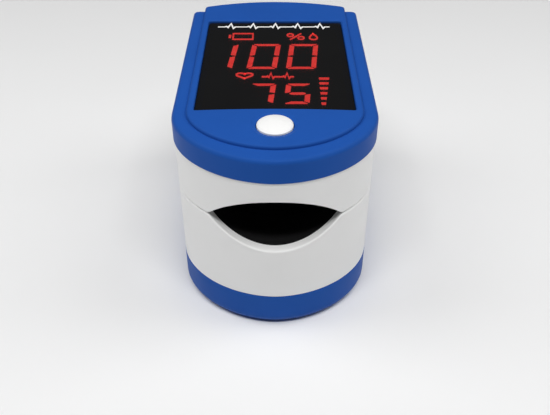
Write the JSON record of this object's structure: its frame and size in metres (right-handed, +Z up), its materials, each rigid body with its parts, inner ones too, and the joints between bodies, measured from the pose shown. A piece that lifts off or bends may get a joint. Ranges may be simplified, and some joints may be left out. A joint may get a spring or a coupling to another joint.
{
  "type": "fingertip pulse oximeter",
  "caption": "Fingertip clip with two sprung jaws, a lit numeric window, a press button and a sliding battery door.",
  "frame": {"origin": "centre of the footprint on the surface it stands on", "axes": "+Z up through the display, -Y towards the finger opening, +Y towards the hinge end, X across"},
  "size_m": [0.034, 0.059, 0.0367],
  "materials": {
    "shell_white": "satin moulded ABS, slightly warm white",
    "cover_blue": "satin moulded ABS, mid blue",
    "button_white": "satin moulded cap",
    "silicone_black": "matt silicone",
    "plastic_black": "fine moulded texture",
    "foam_black": "closed-cell foam",
    "window_smoke": "polished smoked acrylic",
    "segment_red": "lit red light guides",
    "cell_sleeve": "printed sleeve over steel can",
    "steel": "zinc-plated",
    "nickel_plate": "nickel-plated spring steel",
    "lead_red": "PVC insulation",
    "board_green": "solder mask",
    "chip_black": "moulded epoxy",
    "lens_red": "deep red clear resin",
    "led_cream": "cream resin",
    "ribbon_amber": "polyimide film",
    "connector_cream": "moulded nylon"
  },
  "bodies": {
    "lower_jaw": {"lower_shell": "shell_white", "bottom_cover": "cover_blue", "lower_pad": "silicone_black", "battery_tray": "plastic_black", "lower_cradle": "plastic_black", "battery_left": "cell_sleeve", "battery_right": "cell_sleeve", "hinge_pin": "steel", "case_screws": "steel", "spring_left": "steel", "spring_right": "steel", "battery_springs": "steel", "battery_plates": "nickel_plate", "battery_leads": "lead_red", "sensor_board": "board_green", "photodiode": "chip_black", "sensor_lens": "lens_red", "ribbon_cable": "ribbon_amber"},
    "battery_door": {"battery_door": "cover_blue"},
    "upper_jaw": {"upper_shell": "shell_white", "top_cover": "cover_blue", "display_window": "window_smoke", "display_gasket": "foam_black", "display_module": "plastic_black", "display_segments": "segment_red", "main_board": "board_green", "board_chips": "chip_black", "ribbon_connector": "connector_cream", "tact_switch": "plastic_black", "upper_cradle": "plastic_black", "upper_pad": "silicone_black", "emitter_board": "board_green", "emitter_led": "led_cream", "emitter_lens": "lens_red", "cover_screws": "steel"},
    "button": {"power_button": "button_white", "switch_plunger": "led_cream"}
  },
  "joints": [
    {"name": "jaw_hinge", "type": "hinge", "parent": "lower_jaw", "child": "upper_jaw", "pos_m": [0, 0.0135, 0.0225], "axis": [-1, 0, 0], "range_deg": [0, 22], "stiffness_Nm_per_rad": 0.08, "springref_deg": -34.38, "deforming": ["spring_left", "spring_right", "ribbon_cable"]},
    {"name": "button_press", "type": "slide", "parent": "upper_jaw", "child": "button", "axis": [0, 0, -1], "range_m": [0, 0.0005], "stiffness_N_per_m": 1500, "springref_m": -0.0005},
    {"name": "door_slide", "type": "slide", "parent": "lower_jaw", "child": "battery_door", "axis": [0, 1, 0], "range_m": [0, 0.048]}
  ]
}
